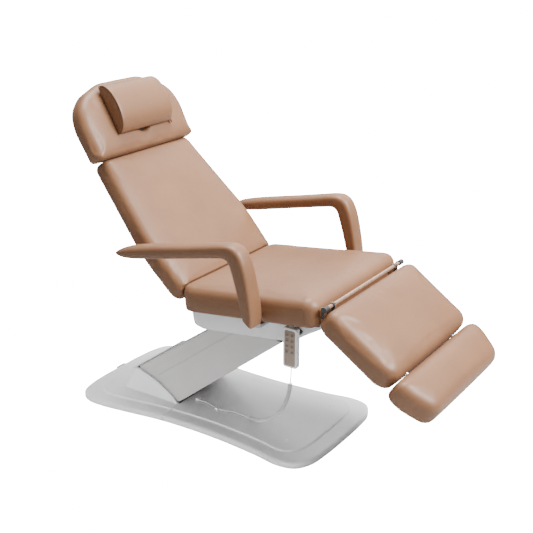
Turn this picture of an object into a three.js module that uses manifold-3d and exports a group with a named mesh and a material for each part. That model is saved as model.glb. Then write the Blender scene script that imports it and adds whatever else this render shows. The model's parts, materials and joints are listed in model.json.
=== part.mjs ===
// Powered facial treatment bed: base, slanted lift arm, seat unit, backrest, headrest, legrest, footrest, arms.
// Millimetres. +X points to the foot end, +Y to the far side, +Z up.
// Origin: centre of the base's underside, on the floor.
import * as THREE from 'three';
import { mergeVertices } from 'three/addons/utils/BufferGeometryUtils.js';
import Module from 'manifold-3d';

const wasm = await Module();
wasm.setup();

// ---------------------------------------------------------------- driving dimensions
const GAP = 0.3;                                  // clearance between touching pieces

const BASE_HALF_LENGTH = 555;
const BASE_LOBE_HALF = 298;                       // half width at the wide ends
const BASE_WAIST_HALF = 254;                      // half width at the waist
const BASE_PLATE_TOP = 12;
const BASE_TOP = 30;                              // top of the plastic covers
const BASE_PLATEAU_TOP = 36;                      // top of the raised middle of the covers
const BASE_SEAM_X = -113;                         // split between rear and front cover

const LIFT_PIVOT = [-230, 95];                    // X, Z of the arm's lower axle
const SEAT_PIVOT = [274, 470];                    // X, Z of the arm's upper axle
const LINK_OFFSET = [-32, 42];                    // second link of the parallelogram
const LIFT_LEAN = 36.5;                           // degrees, slope of the arm cover
const COVER_HALF = 150;                           // half width of the arm cover
const COVER_WALL = 4;

const SEAT_LEAN = 6.5;                            // degrees nose-up
const BACK_HINGE = [5, 535];
const BACK_LEAN = 46.7;                           // degrees above the horizontal
const HEAD_HINGE = [-398, 999];
const HEAD_LEAN = 60.5;
const LEG_HINGE = [620, 653];
const LEG_LEAN = 35;                              // degrees below the horizontal

const SEAT_HALF = 314;
const RAIL_INNER = 200;
const RAIL_OUTER = 212;
const ARM_INNER = 326;
const ARM_OUTER = 400;
const ARM_PIVOT = [376, 612];
const MOTOR_Y = 178;                              // back motor at -Y, leg motor at +Y
const MOTOR_RADIUS = 17;
const ROD_RADIUS = 8;

const HANDSET = { x: 479, y: -261, z: 474, width: 58, thick: 22, height: 150 };
const CORD_RADIUS = 2.6;
const COIL_RADIUS = 7.5;

// ---------------------------------------------------------------- materials
const FINISH = {
  vinyl: [0xc4a894, 0.45, 0.0],
  board: [0x3a332e, 0.8, 0.0],
  steel: [0x2e2f31, 0.45, 0.6],
  chrome: [0xd8d8d8, 0.15, 1.0],
  paint: [0xc6c6c8, 0.4, 0.0],
  white: [0xd4d4d6, 0.35, 0.0],
  grey: [0xa9a5a3, 0.4, 0.0],
  keypad: [0x8c6a55, 0.5, 0.0],
  cord: [0xcfcfd0, 0.5, 0.0],
};

// ---------------------------------------------------------------- solids
const rad = THREE.MathUtils.degToRad;

function toManifold(geometry) {
  const bare = geometry.clone();
  bare.deleteAttribute('normal');
  bare.deleteAttribute('uv');
  const merged = mergeVertices(bare, 1e-3);
  const vertProperties = new Float32Array(merged.attributes.position.array);
  const triVerts = new Uint32Array(merged.index.array);
  return new wasm.Manifold(new wasm.Mesh({ numProp: 3, vertProperties, triVerts }));
}

function toGeometry(solid) {
  const mesh = solid.getMesh();
  const geometry = new THREE.BufferGeometry();
  geometry.setAttribute('position', new THREE.BufferAttribute(new Float32Array(mesh.vertProperties), 3));
  geometry.setIndex(new THREE.BufferAttribute(new Uint32Array(mesh.triVerts), 1));
  geometry.computeVertexNormals();
  return geometry;
}

function join(...geometries) {
  return toGeometry(geometries.map(toManifold).reduce((all, next) => all.add(next)));
}

function cut(body, ...tools) {
  return toGeometry(tools.map(toManifold).reduce((rest, tool) => rest.subtract(tool), toManifold(body)));
}

function common(a, b) {
  return toGeometry(toManifold(a).intersect(toManifold(b)));
}

function shapeOf(points) {
  const shape = new THREE.Shape(points.map(([x, y]) => new THREE.Vector2(x, y)));
  if (THREE.ShapeUtils.isClockWise(shape.getPoints())) {
    return new THREE.Shape(points.slice().reverse().map(([x, y]) => new THREE.Vector2(x, y)));
  }
  return shape;
}

// A side profile in X and Z, run from y0 to y1.
function sidePlate(points, y0, y1, bevel = 0, bevelSteps = 2) {
  const geometry = new THREE.ExtrudeGeometry(shapeOf(points), {
    depth: y1 - y0 - 2 * bevel,
    bevelEnabled: bevel > 0,
    bevelThickness: bevel,
    bevelSize: bevel,
    bevelOffset: -bevel,
    bevelSegments: bevelSteps,
    curveSegments: 6,
  });
  geometry.rotateX(Math.PI / 2);
  geometry.translate(0, y1 - bevel, 0);
  return geometry;
}

// A plan outline in X and Y, run from z0 to z1, with its edges rounded at the two faces.
function slab(points, z0, z1, bevel = 0, bevelSteps = 2) {
  const geometry = new THREE.ExtrudeGeometry(shapeOf(points), {
    depth: z1 - z0 - 2 * bevel,
    bevelEnabled: bevel > 0,
    bevelThickness: bevel,
    bevelSize: bevel,
    bevelOffset: -bevel,
    bevelSegments: bevelSteps,
    curveSegments: 6,
  });
  geometry.translate(0, 0, z0 + bevel);
  return geometry;
}

function block(x0, x1, y0, y1, z0, z1) {
  const geometry = new THREE.BoxGeometry(x1 - x0, y1 - y0, z1 - z0);
  geometry.translate((x0 + x1) / 2, (y0 + y1) / 2, (z0 + z1) / 2);
  return geometry;
}

// A round bar along Y.
function crossBar(x, z, radius, y0, y1, sides = 14) {
  const geometry = new THREE.CylinderGeometry(radius, radius, y1 - y0, sides);
  geometry.translate(x, (y0 + y1) / 2, z);
  return geometry;
}

// A round bar along X.
function longBar(x0, x1, y, z, radius, sides = 12) {
  const geometry = new THREE.CylinderGeometry(radius, radius, x1 - x0, sides);
  geometry.rotateZ(Math.PI / 2);
  geometry.translate((x0 + x1) / 2, y, z);
  return geometry;
}

// A round post along Z.
function post(x, y, z0, z1, radius, sides = 12) {
  const geometry = new THREE.CylinderGeometry(radius, radius, z1 - z0, sides);
  geometry.rotateX(Math.PI / 2);
  geometry.translate(x, y, (z0 + z1) / 2);
  return geometry;
}

// Outline of a rounded rectangle-like plan: corners given as [x, y, radius], mirrored over y = 0.
function mirroredOutline(corners, steps = 4) {
  const full = [...corners, ...corners.slice().reverse().map(([x, y, r]) => [x, -y, r])];
  return roundCorners(full, steps);
}

function roundCorners(corners, steps = 4) {
  const points = [];
  corners.forEach(([x, y, r], i) => {
    const [px, py] = corners[(i + corners.length - 1) % corners.length];
    const [nx, ny] = corners[(i + 1) % corners.length];
    if (!r) {
      points.push([x, y]);
      return;
    }
    const toPrev = new THREE.Vector2(px - x, py - y).normalize();
    const toNext = new THREE.Vector2(nx - x, ny - y).normalize();
    const half = Math.acos(THREE.MathUtils.clamp(toPrev.dot(toNext), -1, 1)) / 2;
    const reach = r / Math.tan(half);
    const start = new THREE.Vector2(x, y).addScaledVector(toPrev, reach);
    const end = new THREE.Vector2(x, y).addScaledVector(toNext, reach);
    const centre = new THREE.Vector2(x, y).add(toPrev.clone().add(toNext).setLength(r / Math.sin(half)));
    const from = Math.atan2(start.y - centre.y, start.x - centre.x);
    let turn = Math.atan2(end.y - centre.y, end.x - centre.x) - from;
    turn = Math.atan2(Math.sin(turn), Math.cos(turn));
    for (let k = 0; k <= steps; k += 1) {
      const angle = from + (turn * k) / steps;
      points.push([centre.x + r * Math.cos(angle), centre.y + r * Math.sin(angle)]);
    }
  });
  return points;
}

// The same outline moved inwards by a distance.
function inset(points, distance) {
  const shape = shapeOf(points).getPoints();
  const size = shape.length;
  return shape.map((p, i) => {
    const before = shape[(i + size - 1) % size];
    const after = shape[(i + 1) % size];
    const a = p.clone().sub(before).normalize();
    const b = after.clone().sub(p).normalize();
    const normal = new THREE.Vector2(-(a.y + b.y), a.x + b.x).normalize();
    const stretch = Math.max(0.5, normal.dot(new THREE.Vector2(-a.y, a.x)));
    return [p.x + (normal.x * distance) / stretch, p.y + (normal.y * distance) / stretch];
  });
}

function tubeAlong(points, radius, sides, steps) {
  const path = new THREE.CatmullRomCurve3(points.map((p) => new THREE.Vector3(...p)), false, 'centripetal');
  const ring = new THREE.Shape();
  for (let i = 0; i < sides; i += 1) {
    const angle = (i / sides) * Math.PI * 2;
    const at = [radius * Math.cos(angle), radius * Math.sin(angle)];
    if (i === 0) ring.moveTo(...at);
    else ring.lineTo(...at);
  }
  ring.closePath();
  return new THREE.ExtrudeGeometry(ring, { extrudePath: path, steps, bevelEnabled: false });
}

// ---------------------------------------------------------------- scene graph
const bed = new THREE.Group();

function add(parent, name, finish, geometry) {
  const [color, roughness, metalness] = FINISH[finish];
  const mesh = new THREE.Mesh(geometry, new THREE.MeshStandardMaterial({ color, roughness, metalness }));
  mesh.name = name;
  parent.add(mesh);
  return mesh;
}

// A frame with its origin on a hinge; tilt turns +X towards -Z.
function hingedFrame([x, z], tilt) {
  const group = new THREE.Group();
  group.position.set(x, 0, z);
  group.rotation.y = rad(tilt);
  bed.add(group);
  return group;
}

const seatFrame = hingedFrame(BACK_HINGE, -SEAT_LEAN);      // +X to the foot end
const backFrame = hingedFrame(BACK_HINGE, BACK_LEAN);       // -X up the back
const headFrame = hingedFrame(HEAD_HINGE, HEAD_LEAN);       // -X up the head
const legFrame = hingedFrame(LEG_HINGE, LEG_LEAN);          // +X down the leg

function inFrame(group, [x, z]) {
  group.updateMatrixWorld();
  const local = group.worldToLocal(new THREE.Vector3(x, 0, z));
  return [local.x, local.z];
}

// ---------------------------------------------------------------- base
function baseOutline(margin) {
  const curve = new THREE.CatmullRomCurve3([
    [BASE_HALF_LENGTH, 0], [BASE_HALF_LENGTH - 3, 120], [BASE_HALF_LENGTH - 14, 215],
    [505, 272], [440, BASE_LOBE_HALF - 9], [330, 273], [160, BASE_WAIST_HALF + 3], [10, BASE_WAIST_HALF],
    [-130, 261], [-270, 281], [-400, BASE_LOBE_HALF], [-470, BASE_LOBE_HALF - 3], [-523, 264],
    [-547, 190], [-BASE_HALF_LENGTH, 90],
  ].map(([x, y]) => new THREE.Vector3(x, y, 0)), false, 'centripetal');
  const half = curve.getPoints(30).map((p) => [p.x, Math.max(0, p.y)]);
  const other = half.slice(1).reverse().map(([x, y]) => [x, -y]);
  return inset([...half, ...other], margin);
}

function baseCoverShell() {
  const outer = join(
    slab(baseOutline(0), 2, BASE_TOP, 5, 1),
    slab(baseOutline(58), BASE_TOP - 10, BASE_PLATEAU_TOP, 4, 1),
  );
  return cut(outer, slab(baseOutline(4), -10, BASE_TOP - 5));
}

const SHROUD_OUTER = 162;
const SHROUD_INNER = 157;
const shroudSide = [
  [-392, 26], [-359, 114], [-347, 132], [-331, 140], [-300, 136], [-266, 125], [-219, 107], [-173, 82],
  [-120, 50], [-113, 40], [-113, 26],
];
const SHROUD_HOLE = [-382, BASE_SEAM_X - 1];      // open well under the lift arm, X range

function buildBase() {
  const plate = slab(baseOutline(9), 0, BASE_PLATE_TOP);
  add(bed, 'base_plate', 'steel', plate);

  const well = block(SHROUD_HOLE[0], SHROUD_HOLE[1], -SHROUD_INNER, SHROUD_INNER, 0, 60);
  const shell = baseCoverShell();
  const rearHalf = block(-700, BASE_SEAM_X - GAP / 2, -400, 400, -20, 200);
  const frontHalf = block(BASE_SEAM_X + GAP / 2, 700, -400, 400, -20, 200);
  const shroud = cut(
    sidePlate(shroudSide, -SHROUD_OUTER, SHROUD_OUTER, 4, 1),
    sidePlate([[-387, 0], [-354, 112], [-341, 127], [-331, 133], [-331, 300], [0, 300], [0, 0]],
      -SHROUD_INNER, SHROUD_INNER),
  );
  const rear = common(join(cut(shell, well), shroud), rearHalf);
  add(bed, 'base_cover_rear', 'white', cut(rear, block(-700, -548, -24, 24, 8, 26)));
  add(bed, 'base_cover_front', 'white', common(shell, frontHalf));
  add(bed, 'power_inlet', 'steel', block(-562, -549, -23.5, 23.5, 8.5, 25.5));

  [[-419, -158], [-419, 158], [401, -160], [401, 160]].forEach(([x, y], i) => {
    add(bed, `screw_cap_${i + 1}`, 'white', post(x, y, BASE_PLATEAU_TOP + GAP, BASE_PLATEAU_TOP + 2.5, 6, 10));
  });
}

const LINK_LOW = [LIFT_PIVOT[0] + LINK_OFFSET[0], LIFT_PIVOT[1] + LINK_OFFSET[1]];
const LINK_HIGH = [SEAT_PIVOT[0] + LINK_OFFSET[0], SEAT_PIVOT[1] + LINK_OFFSET[1]];
const MOTOR_FOOT = [-145, 50];                    // lift motor's pivot on the base
const MOTOR_TOP = [159, 373];                     // where its rod meets the lift frame

function buildLiftBracket() {
  const foot = BASE_PLATE_TOP + GAP;
  const cheek = [[-300, foot], [-284, 150], [-266, 161], [-252, 155], [-214, 110], [-170, foot]];
  const parts = [-1, 1].map((side) => sidePlate(cheek, ...sorted(side * 133, side * 142)));
  const inner = [[-300, foot], [-284, 150], [-266, 161], [-252, 155], [-220, foot]];
  const lug = [[-170, foot], [-158, 60], [-145, 64], [-132, 60], [-120, foot]];
  add(bed, 'lift_bracket', 'paint', join(
    block(-305, -115, -142, 142, foot, foot + 6),
    ...parts,
    sidePlate(inner, 66, 74),
    sidePlate(lug, -24, -16),
    sidePlate(lug, 16, 24),
    crossBar(...LIFT_PIVOT, 12, -142, 142, 16),
    crossBar(...LINK_LOW, 8, 48, 74, 12),
    crossBar(...MOTOR_FOOT, 6, -24, 24, 10),
  ));
}

function sorted(a, b) {
  return a < b ? [a, b] : [b, a];
}

// ---------------------------------------------------------------- lift arm
function alongLine([x0, z0], [x1, z1], t, off) {
  const length = Math.hypot(x1 - x0, z1 - z0);
  const ux = (x1 - x0) / length;
  const uz = (z1 - z0) / length;
  return [x0 + ux * t - uz * off, z0 + uz * t + ux * off];
}

// A flat bar between two pivots, with round ends.
function linkBar(from, to, half, y0, y1) {
  const length = Math.hypot(to[0] - from[0], to[1] - from[1]);
  const corners = [[-half, -half], [length + half, -half], [length + half, half], [-half, half]]
    .map(([t, off]) => [...alongLine(from, to, t, off), half * 0.8]);
  return sidePlate(roundCorners(corners, 3), y0, y1);
}

function buildLiftFrame() {
  const arms = [-124, 124].map((y) => linkBar(LIFT_PIVOT, SEAT_PIVOT, 24, y - 6, y + 6));
  const frame = join(
    ...arms,
    crossBar(...MOTOR_TOP, 20, -124, 124, 14),
    sidePlate([[150, 350], [110, 326], [104, 340], [140, 380]], -34, -26),
    sidePlate([[150, 350], [110, 326], [104, 340], [140, 380]], 26, 34),
  );
  add(bed, 'lift_frame', 'steel', cut(
    frame,
    crossBar(...LIFT_PIVOT, 12.6, -140, 140, 16),
    crossBar(...SEAT_PIVOT, 12.6, -140, 140, 16),
  ));
}

// Cover profile in X and Z: long sides along the arm, cut level at the upper end.
const coverLow = [[-116, 41], [367, 420]];
const coverHigh = [[-318, 145], [26, 386], [157, 477]];
const coverSeam = [[-262, 100], [300, 516]];

function coverProfile() {
  return [coverHigh[0], coverHigh[1], coverHigh[2], coverLow[1], coverLow[0], [-200, 44], [-262, 60]];
}

function shifted([[x0, z0], [x1, z1]], off) {
  return [alongLine([x0, z0], [x1, z1], -300, off), alongLine([x0, z0], [x1, z1], 900, off)];
}

function buildArmCover() {
  const outer = sidePlate(coverProfile(), -COVER_HALF, COVER_HALF, 3, 1);
  const [lowA, lowB] = shifted(coverLow, COVER_WALL);
  const [highA, highB] = shifted([coverHigh[0], coverHigh[1]], -COVER_WALL - 1);
  const hollow = sidePlate([lowA, lowB, highB, highA], -COVER_HALF + COVER_WALL, COVER_HALF - COVER_WALL);
  const rearMouth = sidePlate([[-400, -100], [-400, 400], [-345, 120], [-262, 50], [-116, 36], [-116, -100]],
    -COVER_HALF + COVER_WALL, COVER_HALF - COVER_WALL);
  const motorNotch = block(-130, -84, -36, 36, 20, 76);
  const shell = cut(outer, hollow, rearMouth, motorNotch);
  const [seamA, seamB] = shifted(coverSeam, 0);
  const above = sidePlate([alongLine(seamA, seamB, 0, GAP), alongLine(seamA, seamB, 1400, GAP),
    alongLine(seamA, seamB, 1400, 300), alongLine(seamA, seamB, 0, 300)], -300, 300);
  const below = sidePlate([alongLine(seamA, seamB, 0, -300), alongLine(seamA, seamB, 1400, -300),
    seamB, seamA], -300, 300);
  add(bed, 'arm_cover_upper', 'grey', common(shell, above));
  add(bed, 'arm_cover_lower', 'grey', common(shell, below));
}

function buildLiftDrive() {
  const link = linkBar(LINK_LOW, LINK_HIGH, 12, 50, 62);
  add(bed, 'level_link', 'steel', cut(
    link,
    crossBar(...LINK_LOW, 8.5, 40, 80, 12),
    crossBar(...LINK_HIGH, 8.5, 40, 80, 12),
  ));
  const run = Math.hypot(MOTOR_TOP[0] - MOTOR_FOOT[0], MOTOR_TOP[1] - MOTOR_FOOT[1]);
  const lean = (Math.atan2(MOTOR_TOP[1] - MOTOR_FOOT[1], MOTOR_TOP[0] - MOTOR_FOOT[0]) * 180) / Math.PI;
  const drive = hingedFrame(MOTOR_FOOT, -lean);
  const [motor, rod] = actuator(run - 34, 28, 10, 15, true);
  add(drive, 'lift_motor', 'steel', motor);
  add(drive, 'lift_rod', 'chrome', rod);
}

// A linear actuator along +X from its rear eye at the origin: [motor with tube, rod with forked end].
function actuator(run, tubeRadius, rodRadius, eyeHalf, housing) {
  const tubeEnd = run * 0.62;
  const parts = [
    longBar(24, tubeEnd, 0, 0, tubeRadius * 0.75, 14),
    block(-tubeRadius * 0.5, 30, -eyeHalf, eyeHalf, -tubeRadius * 0.5, tubeRadius * 0.5),
  ];
  if (housing) parts.push(block(42, 110, -tubeRadius, tubeRadius, -tubeRadius * 0.55, tubeRadius * 1.1));
  const body = cut(
    join(...parts),
    crossBar(0, 0, 6.6, -60, 60, 12),
    longBar(60, run, 0, 0, rodRadius + 0.6, 12),
  );
  const fork = join(
    longBar(tubeEnd - 60, run - 24, 0, 0, rodRadius, 12),
    block(run - 30, run - 16, -9, 9, -rodRadius, rodRadius),
    block(run - 18, run + 12, -9, -5.5, -rodRadius, rodRadius),
    block(run - 18, run + 12, 5.5, 9, -rodRadius, rodRadius),
  );
  return [body, fork];
}

// ---------------------------------------------------------------- seat unit
const seatPlan = mirroredOutline([[600, SEAT_HALF, 44], [30, SEAT_HALF - 4, 50]]);
const SEAT_BASE = -9;
const SEAT_TOP = 82;
const BOARD = 12;

function buildSeatCushion() {
  add(seatFrame, 'seat_cushion', 'vinyl', slab(seatPlan, SEAT_BASE, SEAT_TOP, 24, 3));
  add(seatFrame, 'seat_board', 'board', slab(inset(seatPlan, 24), SEAT_BASE - GAP - BOARD, SEAT_BASE - GAP));
}

const BACK_MOTOR_EYE = [389, -75];                // in the seat frame
const LEG_MOTOR_EYE = [190, -74];

function buildRails() {
  const top = SEAT_BASE - 2 * GAP - BOARD;
  [-1, 1].forEach((side) => {
    const eye = side < 0 ? BACK_MOTOR_EYE : LEG_MOTOR_EYE;
    const profile = roundCorners([
      [-13, 10, 6], [12, 10, 6], [20, top, 0], [564, top, 0], [564, top - 30, 0], [eye[0] + 40, top - 34, 0],
      [eye[0] + 14, eye[1] - 12, 5], [eye[0] - 14, eye[1] - 12, 5], [eye[0] - 40, top - 34, 0],
      [20, top - 34, 8], [-13, -14, 6],
    ], 3);
    const rail = cut(
      sidePlate(profile, ...sorted(side * RAIL_INNER, side * RAIL_OUTER)),
      crossBar(0, 0, 8.6, ...sorted(side * 190, side * 230), 12),
    );
    const [px, pz] = inFrame(seatFrame, ARM_PIVOT);
    const bracket = join(
      rail,
      crossBar(...eye, 6, ...sorted(side * (MOTOR_Y - 14), side * (RAIL_OUTER - 2)), 10),
      block(px - 24, px + 7, ...sorted(side * (RAIL_OUTER - 4), side * 322.5), top - 10, top),
      block(px - 24, px + 7, ...sorted(side * 317, side * 322.5), top - 10, pz + 12),
      crossBar(px, pz, 6, ...sorted(side * 318, side * 352), 12),
    );
    add(seatFrame, side < 0 ? 'seat_rail_near' : 'seat_rail_far', 'paint', bracket);
  });
}

function buildFrontBeam() {
  const top = SEAT_BASE - 2 * GAP - BOARD;
  const [rx, rz] = inFrame(seatFrame, LEG_HINGE);
  const finger = [
    [584, top - 10], [594, top - 10], [605, -8], [610.5, 12], [618, 32], [rx + 9, rz - 6], [rx + 9, rz + 8],
    [rx - 9, rz + 8], [rx - 11, rz - 2], [606, 26], [602.5, 12], [593, -10], [584, top],
  ];
  const beam = join(
    block(565 + GAP, 595, -227, 227, top - 24, top - 2),
    ...[-1, 1].map((side) => sidePlate(finger, ...sorted(side * 222, side * 227))),
  );
  add(seatFrame, 'front_beam', 'paint', cut(beam, crossBar(rx, rz, 7.4, -300, 300, 12)));
  add(bed, 'legrest_axle', 'chrome', crossBar(...LEG_HINGE, 6.6, -287, 287, 12));
}

function buildCarriage() {
  const top = SEAT_BASE - 2 * GAP - BOARD;
  const [px, pz] = inFrame(seatFrame, SEAT_PIVOT);
  const [lx, lz] = inFrame(seatFrame, LINK_HIGH);
  const cheek = roundCorners([[px - 70, top - 4, 0], [px + 50, top - 4, 0], [px + 24, pz - 22, 12],
    [px - 24, pz - 22, 12]], 3);
  const inner = [[lx - 30, top - 4], [lx + 30, top - 4], [lx + 13, lz - 13], [lx - 13, lz - 13]];
  add(seatFrame, 'carriage', 'paint', join(
    block(px - 75, px + 55, -RAIL_INNER + GAP, RAIL_INNER - GAP, top - 8, top - GAP),
    sidePlate(cheek, -143, -133.5),
    sidePlate(cheek, 133.5, 143),
    sidePlate(inner, 66, 74),
    crossBar(px, pz, 12, -143, 143, 16),
    crossBar(lx, lz, 8, 48, 74, 12),
  ));
}

const HULL_HALF = 240;
const HULL_WALL = 4;
const hullSide = roundCorners([
  [14, -24, 0], [22, -92, 22], [66, -108, 18], [447, -108, 50], [500, -80, 40], [582, -42, 16], [590, -24, 0],
], 3);
const hullInside = [[19, 20], [27, -90], [60, -104], [446, -104], [497, -78], [582, -36], [585, 20]];

function buildUnderbody() {
  const outer = sidePlate(hullSide, -HULL_HALF, HULL_HALF, 5, 1);
  const liftWell = block(45, 382, -159, 159, -140, -60);
  const backSlot = block(0, 60, -MOTOR_Y - 12, -MOTOR_Y + 12, -100, 0);
  const legSlot = block(470, 620, MOTOR_Y - 20, MOTOR_Y + 20, -130, 0);
  const shell = cut(
    outer,
    sidePlate(hullInside, -HULL_HALF + HULL_WALL, HULL_HALF - HULL_WALL, 4, 1),
    liftWell,
    backSlot,
    legSlot,
    ...[-1, 1].flatMap((side) => [
      block(0, 60, ...sorted(side * (RAIL_INNER - 3), side * (RAIL_OUTER + 3)), -62, 0),
      block(500, 640, ...sorted(side * (RAIL_INNER - 3), side * (RAIL_OUTER + 3)), -56, 0),
    ]),
  );
  const top = SEAT_BASE - 2 * GAP - BOARD;
  const inner = HULL_HALF - HULL_WALL;
  const underBeam = block(500, 640, -inner, inner, top - 26, 40);
  const armX = inFrame(seatFrame, ARM_PIVOT)[0];
  const armBar = block(armX - 30, armX + 22, -300, 300, top - 16, 40);
  add(seatFrame, 'underbody', 'white', cut(shell, underBeam, armBar));
  add(seatFrame, 'control_box', 'steel', block(400, 492, -90, 90, -76, top - 4));
}

function buildHandsetHook() {
  const { x, y, z, thick, height } = HANDSET;
  const top = z + height / 2;
  const back = y + thick / 2 + GAP;
  add(bed, 'handset_hook', 'white', join(
    block(x - 14, x + 14, back, -HULL_HALF - GAP, top - 40, top - 4),
    block(x - 8, x + 8, y, back + 2, top + GAP, top + 4),
    block(x - 8, x + 8, back, back + 3, top - 10, top + 4),
  ));
}

// ---------------------------------------------------------------- backrest and headrest
const backPlan = mirroredOutline([[-18, 297, 40], [-215, 313, 700], [-600, 254, 34]], 3);
const BACK_BASE = 1.5;
const BACK_TOP = 82;
const seatRelief = [[5, 31], [-7, 40], [-20, 50], [-33, 60], [-40, 70], [-40, 200], [60, 200], [60, 31]];

function buildBackrest() {
  const pad = slab(backPlan, BACK_BASE, BACK_TOP, 24, 3);
  add(backFrame, 'back_cushion', 'vinyl', cut(pad, sidePlate(seatRelief, -400, 400)));
  const boardPlan = mirroredOutline([[-60, 264, 20], [-215, 280, 0], [-575, 224, 20]], 3);
  const under = BACK_BASE - GAP - BOARD;
  add(backFrame, 'back_board', 'board', slab(boardPlan, under, BACK_BASE - GAP));
  const lug = roundCorners([[10, 10, 8], [10, -10, 8], [-70, under - 14, 0], [-95, under - 14, 0],
    [-95, under - GAP, 0], [-36, under - GAP, 0], [-10, 10, 8]], 3);
  const horn = roundCorners([[-95, under - 14, 0], [-95, under - GAP, 0], [-40, under - GAP, 0],
    [61, -30, 5], [53, -46, 6], [-20, under - 22, 0]], 3);
  add(backFrame, 'back_frame', 'paint', join(
    block(-95, -65, -222, 222, under - 13, under - GAP),
    sidePlate(lug, -222, -213.5),
    sidePlate(lug, 213.5, 222),
    sidePlate(horn, -MOTOR_Y - 4, -MOTOR_Y + 4),
    crossBar(0, 0, 8, -222, -200.5, 12),
    crossBar(0, 0, 8, 200.5, 222, 12),
  ));
  const upright = roundCorners([[-540, under - 10, 0], [-540, under - GAP, 0], [-604, under - GAP, 4],
    [-607, 34, 6], [-622, 34, 6], [-622, under - 10, 8]], 3);
  const [hx, hz] = inFrame(backFrame, HEAD_HINGE);
  add(backFrame, 'head_hinge', 'steel', join(
    block(-565, -540, -71, 71, under - 10, under - GAP),
    sidePlate(upright, -71, -63),
    sidePlate(upright, 63, 71),
    crossBar(hx, hz, 5, -71, 71, 12),
  ));
}

const headPlan = mirroredOutline([
  [-4, 281, 38], [-130, 290, 150], [-205, 272, 120], [-255, 205, 100], [-286, 110, 110],
], 3);
const HEAD_BASE = 1.5;
const HEAD_TOP = 76;
const FACE_HOLE = { x: -124, halfX: 73, halfY: 58 };

function ellipse(x, halfX, halfY, count) {
  return Array.from({ length: count }, (_, i) => {
    const angle = (i / count) * Math.PI * 2;
    return [x + halfX * Math.cos(angle), halfY * Math.sin(angle)];
  });
}

function buildHeadrest() {
  const hole = slab(ellipse(FACE_HOLE.x, FACE_HOLE.halfX, FACE_HOLE.halfY, 20), -60, 160);
  add(headFrame, 'head_cushion', 'vinyl', cut(slab(headPlan, HEAD_BASE, HEAD_TOP, 22, 3), hole));
  const under = HEAD_BASE - GAP - BOARD;
  const boardPlan = mirroredOutline([[-30, 250, 20], [-190, 240, 60], [-255, 110, 60]], 3);
  const boardHole = slab(ellipse(FACE_HOLE.x, FACE_HOLE.halfX + 4, FACE_HOLE.halfY + 4, 20), -60, 160);
  add(headFrame, 'head_board', 'board', cut(slab(boardPlan, under, HEAD_BASE - GAP), boardHole));
  const lug = roundCorners([[9, 9, 7], [9, -9, 7], [-26, under - 10, 0], [-48, under - 10, 0],
    [-48, under - GAP, 0], [-24, under - GAP, 0], [-9, 9, 7]], 3);
  add(headFrame, 'head_bracket', 'steel', cut(
    join(
      block(-48, -32, -60, 60, under - 10, under - GAP),
      sidePlate(lug, -60, -52),
      sidePlate(lug, 52, 60),
    ),
    crossBar(0, 0, 5.5, -80, 80, 12),
  ));
  const roll = [];
  const [pillowLow, pillowHigh] = [-68, -262];
  for (let i = 0; i <= 12; i += 1) {
    const angle = (i / 12) * Math.PI;
    roll.push([(pillowLow + pillowHigh) / 2 + ((pillowLow - pillowHigh) / 2) * Math.cos(angle),
      HEAD_TOP + 1 + 72 * Math.sin(angle) ** 0.8]);
  }
  add(headFrame, 'pillow', 'vinyl', sidePlate(roll, -158, 158));
}

// ---------------------------------------------------------------- legrest and footrest
const legPlan = mirroredOutline([[15, 312, 40], [329, 306, 52]]);
const footPlan = mirroredOutline([[334, 314, 34], [400, 312, 120], [498, 268, 60]], 4);
const LEG_BASE = -58;
const LEG_TOP = 34;
const BAR_Y = 186;
const BAR_Z = -16;

function buildLegrest() {
  const channels = [-BAR_Y, BAR_Y].map((y) => longBar(130, 400, y, BAR_Z, 10, 12));
  add(legFrame, 'leg_cushion', 'vinyl', cut(slab(legPlan, LEG_BASE, LEG_TOP, 24, 3), ...channels));
  const under = LEG_BASE - GAP - BOARD;
  add(legFrame, 'leg_board', 'board', slab(inset(legPlan, 26), under, LEG_BASE - GAP));
  const leaf = [[-9, -6], [-8, 6], [-4, 9], [9, 9], [14, 0], [14, -54], [32, under - GAP], [78, under - GAP],
    [78, under - 11], [24, under - 11], [9.5, -60], [8, -12]];
  const horn = [[52, under - GAP], [90, under - GAP], [72, -107], [54, -107]];
  add(legFrame, 'leg_frame', 'steel', cut(
    join(
      block(52, 78, -234.5, 234.5, under - 11, under - GAP),
      sidePlate(leaf, -234.5, -229.5),
      sidePlate(leaf, 229.5, 234.5),
      sidePlate(horn, MOTOR_Y - 4, MOTOR_Y + 4),
    ),
    crossBar(0, 0, 7.4, -300, 300, 12),
  ));
}

function buildFootrest() {
  const sockets = [-BAR_Y, BAR_Y].map((y) => longBar(300, 394, y, BAR_Z, 8 + GAP, 12));
  add(legFrame, 'foot_cushion', 'vinyl', cut(slab(footPlan, LEG_BASE, LEG_TOP, 24, 3), ...sockets));
  add(legFrame, 'foot_bar_near', 'chrome', longBar(150, 392, -BAR_Y, BAR_Z, 8, 12));
  add(legFrame, 'foot_bar_far', 'chrome', longBar(150, 392, BAR_Y, BAR_Z, 8, 12));
}

// ---------------------------------------------------------------- motors of the back and the leg
function driveBetween(name, eye, target, y) {
  const run = Math.hypot(target[0] - eye[0], target[1] - eye[1]);
  const lean = (Math.atan2(target[1] - eye[1], target[0] - eye[0]) * 180) / Math.PI;
  const frame = new THREE.Group();
  frame.position.set(eye[0], y, eye[1]);
  frame.rotation.y = -rad(lean);
  seatFrame.add(frame);
  const [motor, rod] = actuator(run, MOTOR_RADIUS, ROD_RADIUS, 8, false);
  add(frame, `${name}_motor`, 'steel', motor);
  add(frame, `${name}_rod`, 'chrome', rod);
}

function buildDrives() {
  driveBetween('back', BACK_MOTOR_EYE, [3, -63], -MOTOR_Y);
  driveBetween('leg', LEG_MOTOR_EYE, [603, -67], MOTOR_Y);
}

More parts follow.
